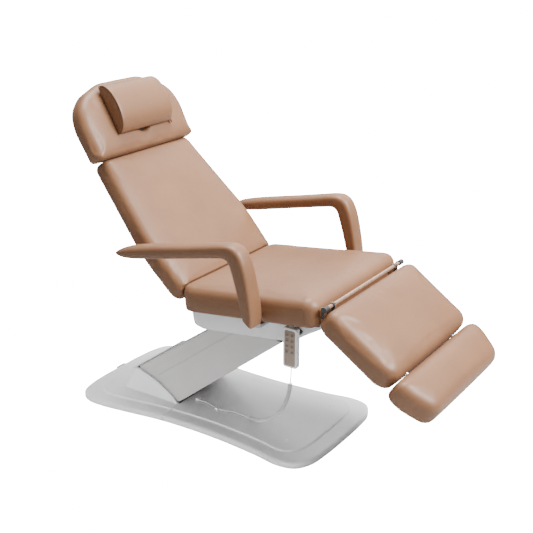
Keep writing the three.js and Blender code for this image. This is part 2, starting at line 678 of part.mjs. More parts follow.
// ---------------------------------------------------------------- armrests
const armSide = roundCorners([
  [-209, 720, 0], [-188, 739, 0], [-150, 756, 40], [331, 856, 74], [387, 745, 60], [412, 630, 40],
  [402, 568, 0], [366, 602, 0], [309, 802, 26], [-80, 722, 60], [-160, 711, 30],
], 4);

function buildArmrests() {
  [['arm_near', -1], ['arm_far', 1]].forEach(([name, side]) => {
    const pad = sidePlate(armSide, ...sorted(side * ARM_INNER, side * ARM_OUTER), 15, 3);
    add(bed, name, 'vinyl', cut(pad, crossBar(...ARM_PIVOT, 7, ...sorted(side * 310, side * 356), 12)));
  });
}

// ---------------------------------------------------------------- handset and cord
function buildHandset() {
  const { x, y, z, width, thick, height } = HANDSET;
  const outline = roundCorners([
    [-width / 2, -height / 2, 8], [width / 2, -height / 2, 8], [width / 2, height / 2, 8], [-width / 2, height / 2, 8],
  ], 3);
  const body = sidePlate(outline, -thick / 2, thick / 2, 3, 1);
  body.translate(x, y, z);
  const front = y - thick / 2;
  const pockets = [];
  const keys = [];
  for (let row = 0; row < 4; row += 1) {
    for (let column = 0; column < 2; column += 1) {
      const kx = x + (column ? 11 : -11);
      const kz = z + 50 - row * 21;
      pockets.push(block(kx - 7, kx + 7, front - 3, front + 4, kz - 6.5, kz + 6.5));
      keys.push([`key_${row * 2 + column + 1}`, block(kx - 6.5, kx + 6.5, front - 1, front + 2.4, kz - 6, kz + 6)]);
    }
  }
  add(bed, 'handset_case', 'white', cut(body, ...pockets));
  keys.forEach(([name, geometry]) => add(bed, name, 'keypad', geometry));
}

const CORD_REST = BASE_PLATEAU_TOP + CORD_RADIUS + 0.4;
const COIL_REST = BASE_PLATEAU_TOP + COIL_RADIUS + 0.4;
const baseRun = [
  [-60, -91, CORD_REST], [-24, -91, CORD_REST], [8, -99, CORD_REST], [40, -109, CORD_REST],
  [68, -108, CORD_REST], [110, -97, CORD_REST + 1], [150, -100, CORD_REST + 2], [190, -106, COIL_REST],
];
const coilRun = [
  [190.3, -106.1, COIL_REST], [222, -111, COIL_REST + 2], [262, -130, 62], [304, -153, 92], [340, -171, 117],
  [371, -188, 146], [412, -211, 194], [444, -232, 250], [462, -246, 292], [471, -253, 330],
];
const leadRun = [[471.1, -253.1, 330.4], [474, -256, 345], [478, -260, 365], [479, -261, 384], [479, -261, 398.4]];

function buildCord() {
  add(bed, 'cord_clip', 'white', cut(
    block(33, 47, -117, -101, BASE_PLATEAU_TOP + GAP, CORD_REST + 5),
    block(20, 60, -113.5, -104, 0, CORD_REST + 3.2),
  ));
  add(bed, 'cord_gland', 'white', block(-74, -60.4, -97, -85, BASE_PLATEAU_TOP + GAP, CORD_REST + 6));
  add(bed, 'cord_base_run', 'cord', tubeAlong(baseRun, CORD_RADIUS, 8, 20));
  add(bed, 'cord_coil', 'cord', tubeAlong(coilRun, COIL_RADIUS, 8, 18));
  add(bed, 'cord_lead', 'cord', tubeAlong(leadRun, CORD_RADIUS, 8, 6));
}

// ---------------------------------------------------------------- assembly
buildBase();
buildLiftBracket();
buildLiftFrame();
buildArmCover();
buildLiftDrive();
buildSeatCushion();
buildRails();
buildFrontBeam();
buildCarriage();
buildUnderbody();
buildHandsetHook();
buildBackrest();
buildHeadrest();
buildLegrest();
buildFootrest();
buildDrives();
buildArmrests();
buildHandset();
buildCord();

export default bed;
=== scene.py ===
import json
import math

import bmesh
import bpy
import numpy as np
from mathutils import Matrix, Vector


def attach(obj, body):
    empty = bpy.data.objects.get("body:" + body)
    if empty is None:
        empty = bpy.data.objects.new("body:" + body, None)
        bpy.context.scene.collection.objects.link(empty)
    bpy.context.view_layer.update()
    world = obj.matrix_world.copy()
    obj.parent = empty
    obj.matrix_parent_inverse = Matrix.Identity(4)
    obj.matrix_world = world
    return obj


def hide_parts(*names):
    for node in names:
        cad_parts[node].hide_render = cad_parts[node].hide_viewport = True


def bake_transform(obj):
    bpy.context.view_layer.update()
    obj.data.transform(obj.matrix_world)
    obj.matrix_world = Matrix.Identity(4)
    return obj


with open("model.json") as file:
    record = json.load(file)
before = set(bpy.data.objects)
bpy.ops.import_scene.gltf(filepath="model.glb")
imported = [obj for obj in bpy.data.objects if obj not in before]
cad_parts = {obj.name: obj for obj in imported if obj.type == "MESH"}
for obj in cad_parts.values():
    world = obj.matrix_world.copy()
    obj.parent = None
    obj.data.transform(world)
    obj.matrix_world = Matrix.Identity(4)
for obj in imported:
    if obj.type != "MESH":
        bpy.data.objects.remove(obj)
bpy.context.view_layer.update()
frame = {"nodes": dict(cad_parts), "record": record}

NODES = frame["nodes"]
SEAT_LEAN, BACK_LEAN, HEAD_LEAN, LEG_LEAN = (math.radians(a) for a in (-6.5, 46.7, 60.5, 35.0))
BACK_HINGE = (0.005, 0.0, 0.535)
HEAD_HINGE = (-0.398, 0.0, 0.999)
LEG_HINGE = (0.620, 0.0, 0.653)
STAND = Matrix(((1, 0, 0, 0), (0, 0, -1, 0), (0, 1, 0, 0), (0, 0, 0, 1)))  # a plan's Y becomes Z
CAMERA_AT = (2.1233, -2.8969, 1.9051)
CAMERA_AIM = (0.203, 0.0, 0.636)
LENS, SENSOR = 66.66, 36.0
GRAIN_SCALE = 620.0  # vinyl grain cells per metre
FLOOR_TONE, SKY = 0.42, 0.42
WHITE_OUT = 24.0  # added only where the camera itself sees the floor or the sky


def placed(origin, lean):
    """The frame of a hinged section: origin on the hinge, turned about +Y."""
    return Matrix.Translation(origin) @ Matrix.Rotation(lean, 4, "Y")


SEAT = placed(BACK_HINGE, SEAT_LEAN)
BACK = placed(BACK_HINGE, BACK_LEAN)
HEAD = placed(HEAD_HINGE, HEAD_LEAN)
LEG = placed(LEG_HINGE, LEG_LEAN)

# ------------------------------------------------------------------ camera
camera = bpy.data.objects.new("camera", bpy.data.cameras.new("camera"))
bpy.context.collection.objects.link(camera)
camera.location = CAMERA_AT
aim = Vector(CAMERA_AIM) - camera.location
camera.rotation_euler = aim.to_track_quat("-Z", "Y").to_euler()
camera.data.lens = LENS
camera.data.sensor_width = SENSOR
camera.data.clip_end = 200.0
bpy.context.scene.camera = camera


# ------------------------------------------------------------------ materials
def shader(name, color, rough, metal=0.0, coat=0.0, sheen=0.0):
    """A new material with its tree, its shader and object coordinates."""
    material = bpy.data.materials.new(name)
    material.use_nodes = True
    tree = material.node_tree
    bsdf = tree.nodes["Principled BSDF"]
    bsdf.inputs["Base Color"].default_value = (*color, 1.0)
    bsdf.inputs["Roughness"].default_value = rough
    bsdf.inputs["Metallic"].default_value = metal
    bsdf.inputs["Coat Weight"].default_value = coat
    bsdf.inputs["Coat Roughness"].default_value = 0.25
    bsdf.inputs["Sheen Weight"].default_value = sheen
    bsdf.inputs["Sheen Roughness"].default_value = 0.4
    coords = tree.nodes.new("ShaderNodeTexCoord")
    return material, tree, bsdf, coords


def noise_of(tree, coords, scale, detail):
    node = tree.nodes.new("ShaderNodeTexNoise")
    node.inputs["Scale"].default_value = scale
    node.inputs["Detail"].default_value = detail
    node.inputs["Roughness"].default_value = 0.5
    tree.links.new(coords.outputs["Object"], node.inputs["Vector"])
    return node.outputs["Fac"]


def tint(tree, bsdf, factor, dark, light):
    """Lets the base colour drift between dark and light."""
    ramp = tree.nodes.new("ShaderNodeValToRGB")
    ramp.color_ramp.elements[0].position = 0.3
    ramp.color_ramp.elements[1].position = 0.7
    ramp.color_ramp.elements[0].color = (*dark, 1.0)
    ramp.color_ramp.elements[1].color = (*light, 1.0)
    tree.links.new(factor, ramp.inputs["Fac"])
    tree.links.new(ramp.outputs["Color"], bsdf.inputs["Base Color"])


def rough_by(tree, bsdf, factor, low, high):
    """Lets the roughness drift between low and high."""
    spread = tree.nodes.new("ShaderNodeMapRange")
    spread.inputs["To Min"].default_value = low
    spread.inputs["To Max"].default_value = high
    tree.links.new(factor, spread.inputs["Value"])
    tree.links.new(spread.outputs["Result"], bsdf.inputs["Roughness"])


def bump(tree, bsdf, height, distance, strength, below=None):
    """Adds a bump, over the normal given as below."""
    node = tree.nodes.new("ShaderNodeBump")
    node.inputs["Distance"].default_value = distance
    node.inputs["Strength"].default_value = strength
    tree.links.new(height, node.inputs["Height"])
    if below is not None:
        tree.links.new(below, node.inputs["Normal"])
    tree.links.new(node.outputs["Normal"], bsdf.inputs["Normal"])
    return node.outputs["Normal"]


def rounded_edges(tree, radius):
    """A normal that softens the edges of a faceted part."""
    node = tree.nodes.new("ShaderNodeBevel")
    node.samples = 4
    node.inputs["Radius"].default_value = radius
    return node.outputs["Normal"]


def vinyl(name, dark, light):
    """Leather-grained vinyl: fine cells over a slow unevenness."""
    material, tree, bsdf, coords = shader(name, light, 0.40, coat=0.05, sheen=0.04)
    tint(tree, bsdf, noise_of(tree, coords, 7.0, 3.0), dark, light)
    rough_by(tree, bsdf, noise_of(tree, coords, 60.0, 3.0), 0.43, 0.54)
    cells = tree.nodes.new("ShaderNodeTexVoronoi")
    cells.feature = "SMOOTH_F1"
    cells.inputs["Scale"].default_value = GRAIN_SCALE
    cells.inputs["Smoothness"].default_value = 0.35
    tree.links.new(coords.outputs["Object"], cells.inputs["Vector"])
    soft = bump(tree, bsdf, noise_of(tree, coords, 28.0, 3.0), 0.0012, 0.22)
    bump(tree, bsdf, cells.outputs["Distance"], 0.00022, 0.35, below=soft)
    return material


def moulded(name, dark, light, low, high, edge=0.0, coat=0.15):
    """Moulded plastic or paint, with edges softened by the radius edge."""
    material, tree, bsdf, coords = shader(name, light, low, coat=coat)
    tint(tree, bsdf, noise_of(tree, coords, 5.0, 3.0), dark, light)
    rough_by(tree, bsdf, noise_of(tree, coords, 90.0, 4.0), low, high)
    below = rounded_edges(tree, edge) if edge else None
    bump(tree, bsdf, noise_of(tree, coords, 900.0, 2.0), 0.00008, 0.3, below=below)
    return material


def metal(name, dark, light, low, high, metallic, edge=0.0008):
    """Bare, plated or powder-coated metal."""
    material, tree, bsdf, coords = shader(name, light, low, metal=metallic)
    tint(tree, bsdf, noise_of(tree, coords, 40.0, 3.0), dark, light)
    rough_by(tree, bsdf, noise_of(tree, coords, 140.0, 4.0), low, high)
    bump(tree, bsdf, noise_of(tree, coords, 1200.0, 2.0), 0.00005, 0.3,
         below=rounded_edges(tree, edge))
    return material


VINYL = vinyl("tan_vinyl", (0.190, 0.085, 0.0365), (0.219, 0.1015, 0.045))
PIPING = vinyl("tan_piping", (0.180, 0.079, 0.036), (0.205, 0.094, 0.044))
WHITE = moulded("white_plastic", (0.82, 0.825, 0.84), (0.86, 0.865, 0.88), 0.30, 0.42)
WHITE_CAD = moulded("white_plastic_edges", (0.82, 0.825, 0.84), (0.86, 0.865, 0.88), 0.30, 0.42,
                    edge=0.0016)
GREY = moulded("grey_plastic", (0.475, 0.467, 0.460), (0.515, 0.507, 0.500), 0.34, 0.46,
               edge=0.003)
PAINT = moulded("white_powder_coat", (0.54, 0.54, 0.55), (0.60, 0.60, 0.61), 0.35, 0.5,
                edge=0.0012)
CAP = moulded("cap_plastic", (0.88, 0.88, 0.88), (0.93, 0.93, 0.93), 0.15, 0.25)
DARK = moulded("dark_gap", (0.03, 0.03, 0.03), (0.045, 0.045, 0.045), 0.5, 0.6, coat=0.0)
BOARD = moulded("board_face", (0.085, 0.050, 0.032), (0.11, 0.066, 0.042), 0.6, 0.75, coat=0.0)
STEEL = metal("black_powder_coat", (0.025, 0.025, 0.027), (0.04, 0.04, 0.042), 0.35, 0.5, 0.0)
CHROME = metal("polished_chrome", (0.70, 0.70, 0.71), (0.80, 0.80, 0.81), 0.10, 0.2, 1.0)
# polished chrome whose tan colour is a painted reflection of the tan cushions around it
TAN_REFLECTION_CHROME = metal("chrome_painted_tan_reflection", (0.42, 0.28, 0.20), (0.52, 0.36, 0.27), 0.22, 0.34, 0.6)
PANEL = moulded("keypad_face", (0.30, 0.225, 0.175), (0.35, 0.265, 0.21), 0.35, 0.5)
KEY = moulded("key_rubber", (0.25, 0.18, 0.138), (0.30, 0.22, 0.17), 0.45, 0.6)
GLYPH = moulded("key_print", (0.05, 0.035, 0.028), (0.07, 0.05, 0.04), 0.5, 0.6, coat=0.0)
CORD = moulded("cord_sheath", (0.55, 0.55, 0.56), (0.62, 0.62, 0.63), 0.4, 0.55)


# ------------------------------------------------------------------ mesh helpers
def link(name, mesh, material):
    piece = bpy.data.objects.new(name, mesh)
    bpy.context.collection.objects.link(piece)
    mesh.materials.clear()
    mesh.materials.append(material)
    return piece


def smooth(mesh, angle):
    """Smooth shading, with the edges sharper than the angle in degrees kept."""
    mesh.shade_smooth()
    mesh.set_sharp_from_angle(angle=math.radians(angle))


def mesh_of(name, verts, faces):
    mesh = bpy.data.meshes.new(name)
    mesh.from_pydata([tuple(v) for v in verts], [], faces)
    mesh.update()
    return mesh


def apply(piece):
    """Bakes the modifiers of a piece into its mesh."""
    graph = bpy.context.evaluated_depsgraph_get()
    graph.update()
    baked = bpy.data.meshes.new_from_object(piece.evaluated_get(graph))
    material = piece.data.materials[0] if piece.data.materials else None
    piece.modifiers.clear()
    piece.data = baked
    if material and not baked.materials:
        baked.materials.append(material)
    return piece


def subdivide(piece):
    """One level of subdivision, applied."""
    fine = piece.modifiers.new("fine", "SUBSURF")
    fine.levels = fine.render_levels = 1
    apply(piece)


def boolean(piece, cutter, operation="DIFFERENCE"):
    """Cuts a piece with another, which is used up."""
    modifier = piece.modifiers.new("cut", "BOOLEAN")
    modifier.object = cutter
    modifier.operation = operation
    modifier.solver = "EXACT"
    apply(piece)
    bpy.data.objects.remove(cutter)
    return piece


def settle(piece, body, node=None):
    """Hides the node a piece replaces, if one is given, and attaches the piece to the body it rides
    on.
    """
    if node is not None:
        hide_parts(node)
    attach(piece, body)


def round_corners(corners, steps=10):
    """A closed plan outline: [x, y, radius] corners with arcs of that radius."""
    points = []
    for i, (x, y, r) in enumerate(corners):
        here = Vector((x, y))
        before = (Vector(corners[i - 1][:2]) - here).normalized()
        after = (Vector(corners[(i + 1) % len(corners)][:2]) - here).normalized()
        if not r:
            points.append(here)
            continue
        half = before.angle(after) / 2
        reach = r / math.tan(half)
        start, end = here + before * reach, here + after * reach
        centre = here + (before + after).normalized() * (r / math.sin(half))
        first = math.atan2(start.y - centre.y, start.x - centre.x)
        turn = math.atan2(end.y - centre.y, end.x - centre.x) - first
        turn = math.atan2(math.sin(turn), math.cos(turn))
        for k in range(steps + 1):
            angle = first + turn * k / steps
            points.append(centre + Vector((r * math.cos(angle), r * math.sin(angle))))
    return points


def mirrored(corners):
    """The outline of a section from the corners on its +Y side."""
    return round_corners(list(corners) + [(x, -y, r) for x, y, r in reversed(corners)])


def resample(points, spacing):
    """The same closed outline with even spacing, running anticlockwise."""
    area = sum(a.x * b.y - b.x * a.y for a, b in zip(points, points[1:] + points[:1]))
    if area < 0:
        points = points[::-1]
    loop = points + [points[0]]
    lengths = np.cumsum([0.0] + [(b - a).length for a, b in zip(loop, loop[1:])])
    count = max(12, int(lengths[-1] / spacing))
    at = np.linspace(0, lengths[-1], count, endpoint=False)
    xs = np.interp(at, lengths, [p.x for p in loop])
    ys = np.interp(at, lengths, [p.y for p in loop])
    return np.stack([xs, ys], 1)


def outward(loop):
    """Unit outward normals of an anticlockwise loop."""
    along = np.roll(loop, -1, 0) - np.roll(loop, 1, 0)
    along /= np.linalg.norm(along, axis=1)[:, None]
    return np.stack([along[:, 1], -along[:, 0]], 1)


def ring_solid(name, loop, rings, weight=None):
    """A closed solid from one outline: rings of (inset, height) from the underside to the top."""
    normals = outward(loop) * (1.0 if weight is None else weight[:, None])
    verts, faces, n = [], [], len(loop)
    for inset, z in rings:
        flat = loop - normals * inset
        verts += [(x, y, z) for x, y in flat]
    for r in range(len(rings) - 1):
        for i in range(n):
            j = (i + 1) % n
            faces.append((r * n + i, r * n + j, (r + 1) * n + j, (r + 1) * n + i))
    faces.append(tuple(reversed(range(n))))
    faces.append(tuple((len(rings) - 1) * n + i for i in range(n)))
    return mesh_of(name, verts, faces)


def edge_profile(z0, z1, low, high, steps=7):
    """(inset, height) rings with a quarter round of each radius at the bottom and the top edge."""
    rings = []
    for k in range(steps + 1):
        a = math.pi / 2 * k / steps
        rings.append((low * (1 - math.sin(a)), z0 + low * (1 - math.cos(a))))
    for k in range(steps + 1):
        a = math.pi / 2 * k / steps
        rings.append((high * (1 - math.cos(a)), z1 - high * (1 - math.sin(a))))
    return rings


def edge_distance(xy, loop):
    """Distance of each point to the outline."""
    best = np.full(len(xy), 9.0)
    for a, b in zip(loop, np.roll(loop, -1, 0)):
        ab = b - a
        t = np.clip(((xy - a) @ ab) / max(ab @ ab, 1e-12), 0, 1)
        best = np.minimum(best, np.linalg.norm(xy - a - t[:, None] * ab, axis=1))
    return best


def coords_of(mesh):
    co = np.empty(len(mesh.vertices) * 3)
    mesh.vertices.foreach_get("co", co)
    return co.reshape(-1, 3)


def set_coords(mesh, co):
    mesh.vertices.foreach_set("co", np.asarray(co, float).ravel())
    mesh.update()


def remesh(piece, voxel, passes):
    """Even voxels, then a few passes of smoothing."""
    modifier = piece.modifiers.new("remesh", "REMESH")
    modifier.mode = "VOXEL"
    modifier.voxel_size = voxel
    even = piece.modifiers.new("even", "SMOOTH")
    even.factor = 0.5
    even.iterations = passes
    return apply(piece)


def puff(piece, pressure, cap, held):
    """Inflates the cover a little, as foam does under stretched vinyl: the held points stay."""
    scene = bpy.context.scene
    start = coords_of(piece.data).copy()
    group = piece.vertex_groups.new(name="held")
    group.add([int(i) for i in np.nonzero(held)[0]], 1.0, "REPLACE")
    cloth = piece.modifiers.new("cover", "CLOTH")
    cloth.settings.quality = 4
    cloth.settings.mass = 0.35
    cloth.settings.tension_stiffness = 25
    cloth.settings.compression_stiffness = 25
    cloth.settings.shear_stiffness = 8
    cloth.settings.bending_stiffness = 12
    cloth.settings.use_pressure = True
    cloth.settings.uniform_pressure_force = pressure
    cloth.settings.vertex_group_mass = "held"
    cloth.settings.effector_weights.gravity = 0
    cloth.point_cache.frame_start = 1
    cloth.point_cache.frame_end = 20
    for f in range(1, 21):
        scene.frame_set(f)
    graph = bpy.context.evaluated_depsgraph_get()
    moved = coords_of(piece.evaluated_get(graph).to_mesh()).copy()
    piece.evaluated_get(graph).to_mesh_clear()
    piece.modifiers.clear()
    piece.vertex_groups.clear()
    scene.frame_set(1)
    step = moved - start
    length = np.linalg.norm(step, axis=1)
    scale = np.where(length > 1e-9, cap * np.tanh(length / cap) / np.maximum(length, 1e-9), 0.0)
    set_coords(piece.data, start + step * scale[:, None])


def cushion(name, outline, z0, z1, low, high, crown, reach, place, body, node, voxel=0.0065,
            hole=None, shape=None, crisp=None):
    """A padded section: flat underside, rounded edges, crowned face, then puffed and made fine.

    z0 to z1 is its thickness, low and high the radii of its lower and upper edge, crown the rise
    of its face over the distance reach from the edge. hole is (x, y, half_x, half_y), and crisp is
    (x, factor) for an end whose edge is rounded less.
    """
    loop = resample(outline, 0.006)
    weight = None if crisp is None else 1 - (1 - crisp[1]) * np.clip(
        1 - np.abs(loop[:, 0] - crisp[0]) / 0.035, 0, 1)
    mesh = ring_solid(name, loop, edge_profile(z0, z1, low, high), weight)
    piece = link(name, mesh, VINYL)
    if hole is not None:
        x, y, half_x, half_y = hole
        rim = [Vector((x + half_x * math.cos(a), y + half_y * math.sin(a)))
               for a in np.linspace(0, math.tau, 64, False)]
        rings = [(-0.012, z0 - 0.01), (0.0, z0 + 0.006), (0.0, z1 - 0.012), (-0.012, z1 + 0.001),
                 (-0.03, z1 + 0.02)]
        boolean(piece, link("cutter", ring_solid("cutter", resample(rim, 0.005), rings), VINYL))
    remesh(piece, voxel, 6)
    co = coords_of(piece.data)
    inside = edge_distance(co[:, :2], loop)
    t = np.clip(inside / reach, 0, 1)
    rise = crown * (1 - (1 - t) ** 2.2)
    lift = np.clip((co[:, 2] - z0) / (z1 - z0), 0, 1) ** 1.5
    co[:, 2] += rise * lift
    if shape is not None:
        co = shape(co)
    set_coords(piece.data, co)
    puff(piece, 2.0, 0.0022, co[:, 2] < z0 + 0.006)
    subdivide(piece)
    piece.data.transform(place)
    piece.data.shade_smooth()
    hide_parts(node)
    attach(piece, body)


def tube(name, points, radius, sides, material, closed=False, shrink=None):
    """A round tube along points, with a frame carried along so that it never twists."""
    pts = np.asarray(points, float)
    n = len(pts)
    along = np.gradient(pts, axis=0) if not closed else np.roll(pts, -1, 0) - np.roll(pts, 1, 0)
    along /= np.linalg.norm(along, axis=1)[:, None]
    side = np.cross(along[0], (0.0, 0.0, 1.0))
    if np.linalg.norm(side) < 0.1:
        side = np.cross(along[0], (1.0, 0.0, 0.0))
    verts, faces = [], []
    for i in range(n):
        side = side - along[i] * (side @ along[i])
        side /= np.linalg.norm(side)
        up = np.cross(along[i], side)
        r = radius * (shrink[i] if shrink is not None else 1.0)
        for k in range(sides):
            a = math.tau * k / sides
            verts.append(pts[i] + r * (math.cos(a) * side + math.sin(a) * up))
    last = n if closed else n - 1
    for i in range(last):
        j = (i + 1) % n
        for k in range(sides):
            m = (k + 1) % sides
            faces.append((i * sides + k, i * sides + m, j * sides + m, j * sides + k))
    if not closed:
        faces.append(tuple(range(sides))[::-1])
        faces.append(tuple((n - 1) * sides + k for k in range(sides)))
    mesh = mesh_of(name, verts, faces)
    mesh.shade_smooth()
    return link(name, mesh, material)


def spline(points, count):
    """Even points on a smooth curve through the given ones."""
    p = np.asarray(points, float)
    ext = np.vstack([2 * p[0] - p[1], p, 2 * p[-1] - p[-2]])
    knots = [0.0]
    for a, b in zip(ext, ext[1:]):
        knots.append(knots[-1] + max(np.linalg.norm(b - a), 1e-9) ** 0.5)
    out = []
    for i in range(1, len(ext) - 2):
        t0, t1, t2, t3 = knots[i - 1:i + 3]
        for t in np.linspace(t1, t2, 60, endpoint=i == len(ext) - 3):
            a1 = (t1 - t) / (t1 - t0) * ext[i - 1] + (t - t0) / (t1 - t0) * ext[i]
            a2 = (t2 - t) / (t2 - t1) * ext[i] + (t - t1) / (t2 - t1) * ext[i + 1]
            a3 = (t3 - t) / (t3 - t2) * ext[i + 1] + (t - t2) / (t3 - t2) * ext[i + 2]
            b1 = (t2 - t) / (t2 - t0) * a1 + (t - t0) / (t2 - t0) * a2
            b2 = (t3 - t) / (t3 - t1) * a2 + (t - t1) / (t3 - t1) * a3
            out.append((t2 - t) / (t2 - t1) * b1 + (t - t1) / (t2 - t1) * b2)
    out = np.array(out)
    length = np.concatenate([[0], np.cumsum(np.linalg.norm(np.diff(out, axis=0), axis=1))])
    at = np.linspace(0, length[-1], count)
    return np.stack([np.interp(at, length, out[:, k]) for k in range(3)], 1)


def length_of(points):
    """The length of a line of points."""
    return float(np.linalg.norm(np.diff(points, axis=0), axis=1).sum())


# ------------------------------------------------------------------ cords
PLATEAU = 0.036  # top of the base
CORD_R, WIRE_R, COIL_R = 0.0026, 0.0013, 0.0075
SHEATH_R = CORD_R * 0.92
LOW, MID = PLATEAU + CORD_R + 0.0004, PLATEAU + COIL_R + 0.0004
BASE_RUN = [(-0.060, -0.091, LOW), (-0.024, -0.091, LOW), (0.008, -0.099, LOW),
            (0.040, -0.109, LOW), (0.068, -0.108, LOW), (0.110, -0.097, LOW + 0.001),
            (0.150, -0.100, LOW + 0.002), (0.190, -0.106, MID)]
COIL_SPLIT = (0.304, -0.153, 0.092)  # where the coil is split into its lower and upper piece
COIL_RUN = [(0.1903, -0.1061, MID), (0.222, -0.111, MID + 0.002), (0.262, -0.130, 0.062),
            COIL_SPLIT, (0.340, -0.171, 0.117), (0.371, -0.188, 0.146), (0.412, -0.211, 0.194),
            (0.444, -0.232, 0.250), (0.462, -0.246, 0.292), (0.471, -0.253, 0.330)]
LOWER_PITCH, UPPER_PITCH = 0.0040, 0.0043
LEAD_RUN = [(0.4711, -0.2531, 0.3304), (0.474, -0.256, 0.345), (0.478, -0.260, 0.365),
            (0.479, -0.261, 0.384), (0.479, -0.261, 0.3984)]


def curl(line, pitch, per_turn=14):
    """A helix of real wire round a line."""
    total = length_of(line)
    turns = total / pitch
    count = int(turns * per_turn)
    path = spline(line, count)
    along = np.gradient(path, axis=0)
    along /= np.linalg.norm(along, axis=1)[:, None]
    side = np.cross(along[0], (0.0, 0.0, 1.0))
    out = []
    for i in range(count):
        side = side - along[i] * (side @ along[i])
        side /= np.linalg.norm(side)
        up = np.cross(along[i], side)
        a = math.tau * turns * i / (count - 1)
        out.append(path[i] + (COIL_R - WIRE_R) * (math.cos(a) * side + math.sin(a) * up))
    return np.array(out)


def declare(nodes):
    """Hides the frame nodes that a cord replaces."""
    if nodes:
        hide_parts(*nodes)


run = spline(BASE_RUN, 60)
base_run = tube("lead_on_base", run, SHEATH_R, 10, CORD)
declare(["cord_base_run"])
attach(base_run, "base")

whole = spline(COIL_RUN, 400)
split = int(np.argmin(np.linalg.norm(whole - np.array(COIL_SPLIT), axis=1)))
lower_line, upper_line = whole[:split + 1], whole[split:]
lower = curl(lower_line, LOWER_PITCH)
upper = curl(upper_line, UPPER_PITCH)
coil_low = tube("curly_lead_lower", lower, WIRE_R, 6, CORD)
declare(["cord_coil"])
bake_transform(coil_low)
coil_high = tube("curly_lead_upper", upper, WIRE_R, 6, CORD)
declare([])
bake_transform(coil_high)
line = spline(LEAD_RUN, 24)
lead = tube("lead_to_handset", line, SHEATH_R, 10, CORD)
declare(["cord_lead"])
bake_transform(lead)

# ------------------------------------------------------------------ cushions
def back_ends(co):
    """Presses the back pad flat where it meets the seat pad below and the head pad above."""
    least = np.clip(1.337 * co[:, 2] - 0.046, -0.014, 0.040)
    most = 0.609 - 0.246 * np.maximum(co[:, 2] - 0.022, 0.0)
    co[:, 0] = -np.clip(-co[:, 0], least, most)
    return co


SEAT_PLAN = [(0.600, 0.314, 0.046), (0.026, 0.310, 0.050)]  # (x, y, corner radius)
BACK_PLAN = [(-0.008, 0.297, 0.040), (-0.215, 0.313, 0.700), (-0.611, 0.254, 0.034)]
HEAD_PLAN = [(0.004, 0.283, 0.022), (-0.130, 0.291, 0.150), (-0.205, 0.273, 0.120),
             (-0.255, 0.206, 0.100), (-0.287, 0.110, 0.110)]
LEG_PLAN = [(0.015, 0.312, 0.040), (0.329, 0.306, 0.052)]
FOOT_PLAN = [(0.334, 0.314, 0.034), (0.400, 0.312, 0.120), (0.498, 0.268, 0.060)]
cushion("seat_pad", mirrored(SEAT_PLAN), -0.016, 0.074, 0.010, 0.030, 0.014, 0.16,
        SEAT, "seat", "seat_cushion", crisp=(0.026, 0.35))
cushion("back_pad", mirrored(BACK_PLAN), 0.0015, 0.072, 0.012, 0.026, 0.014, 0.16,
        BACK, "backrest", "back_cushion", shape=back_ends)
cushion("head_pad", mirrored(HEAD_PLAN), 0.0015, 0.066, 0.012, 0.028, 0.010, 0.10,
        HEAD, "headrest", "head_cushion", voxel=0.005,
        hole=(-0.124, 0.0, 0.060, 0.045), crisp=(0.0, 0.3))
cushion("leg_pad", mirrored(LEG_PLAN), -0.058, 0.025, 0.014, 0.030, 0.012, 0.14,
        LEG, "legrest", "leg_cushion")
cushion("foot_pad", mirrored(FOOT_PLAN), -0.058, 0.025, 0.014, 0.030, 0.012, 0.08,
        LEG, "footrest", "foot_cushion")


# ------------------------------------------------------------------ pillow
def build_pillow():
    """A half-round roll on the head pad, with piping round its two ends."""
    low, high, base, rise = -0.068, -0.262, 0.077, 0.062
    section = [Vector((low, base + 0.006)), Vector((low + 0.001, base + 0.022))]
    for k in range(1, 24):
        a = math.pi * k / 24
        section.append(Vector(((low + high) / 2 + (low - high) / 2 * math.cos(a),
                               base + rise * math.sin(a) ** 0.72)))
    section += [Vector((high, base + 0.012)), Vector((high + 0.006, base)),
                Vector((low - 0.006, base))]
    loop = resample(section, 0.005)
    rings = edge_profile(-0.155, 0.155, 0.026, 0.009, 5)
    mesh = ring_solid("pillow_roll", loop, rings)
    piece = link("pillow_roll", mesh, VINYL)
    remesh(piece, 0.005, 3)
    co = coords_of(piece.data)
    puff(piece, 3.0, 0.003, co[:, 1] < base + 0.004)
    subdivide(piece)
    turn = HEAD @ STAND
    piece.data.transform(turn)
    piece.data.shade_smooth()
    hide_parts("pillow")
    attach(piece, "pillow")
    normals = outward(loop)
    for side, height, inset in (("near", 0.1525, 0.001), ("far", -0.1462, 0.0095)):
        ring = [turn @ Vector((x, max(y, base + 0.007), height))
                for x, y in loop - normals * inset]
        cord_ring = tube(f"pillow_piping_{side}", ring, 0.0020, 8, PIPING, closed=True)
        settle(cord_ring, "pillow")


build_pillow()

# ------------------------------------------------------------------ armrests
# upper and lower outline of the arm from its tip to its lower end, (x, z), and its width at each
ARM_TOP = [(-0.2085, 0.7225), (-0.200, 0.7310), (-0.178, 0.7430), (-0.150, 0.7545),
           (-0.100, 0.7680), (-0.026, 0.7840), (0.121, 0.8130), (0.230, 0.8360), (0.285, 0.8465),
           (0.320, 0.8470), (0.348, 0.8320), (0.366, 0.8030), (0.379, 0.7650), (0.392, 0.7050),
           (0.401, 0.6500), (0.4045, 0.6100), (0.4025, 0.5720)]
ARM_LOW = [(-0.2085, 0.7190), (-0.196, 0.7150), (-0.172, 0.7120), (-0.142, 0.7125),
           (-0.090, 0.7200), (-0.015, 0.7350), (0.131, 0.7650), (0.240, 0.7870), (0.284, 0.7945),
           (0.299, 0.7900), (0.309, 0.7790), (0.316, 0.7600), (0.325, 0.7350), (0.341, 0.6850),
           (0.354, 0.6400), (0.3622, 0.6120), (0.3655, 0.6005)]
ARM_WIDE = [0.30, 0.62, 0.84, 0.95, 1.0] + [1.0] * 12
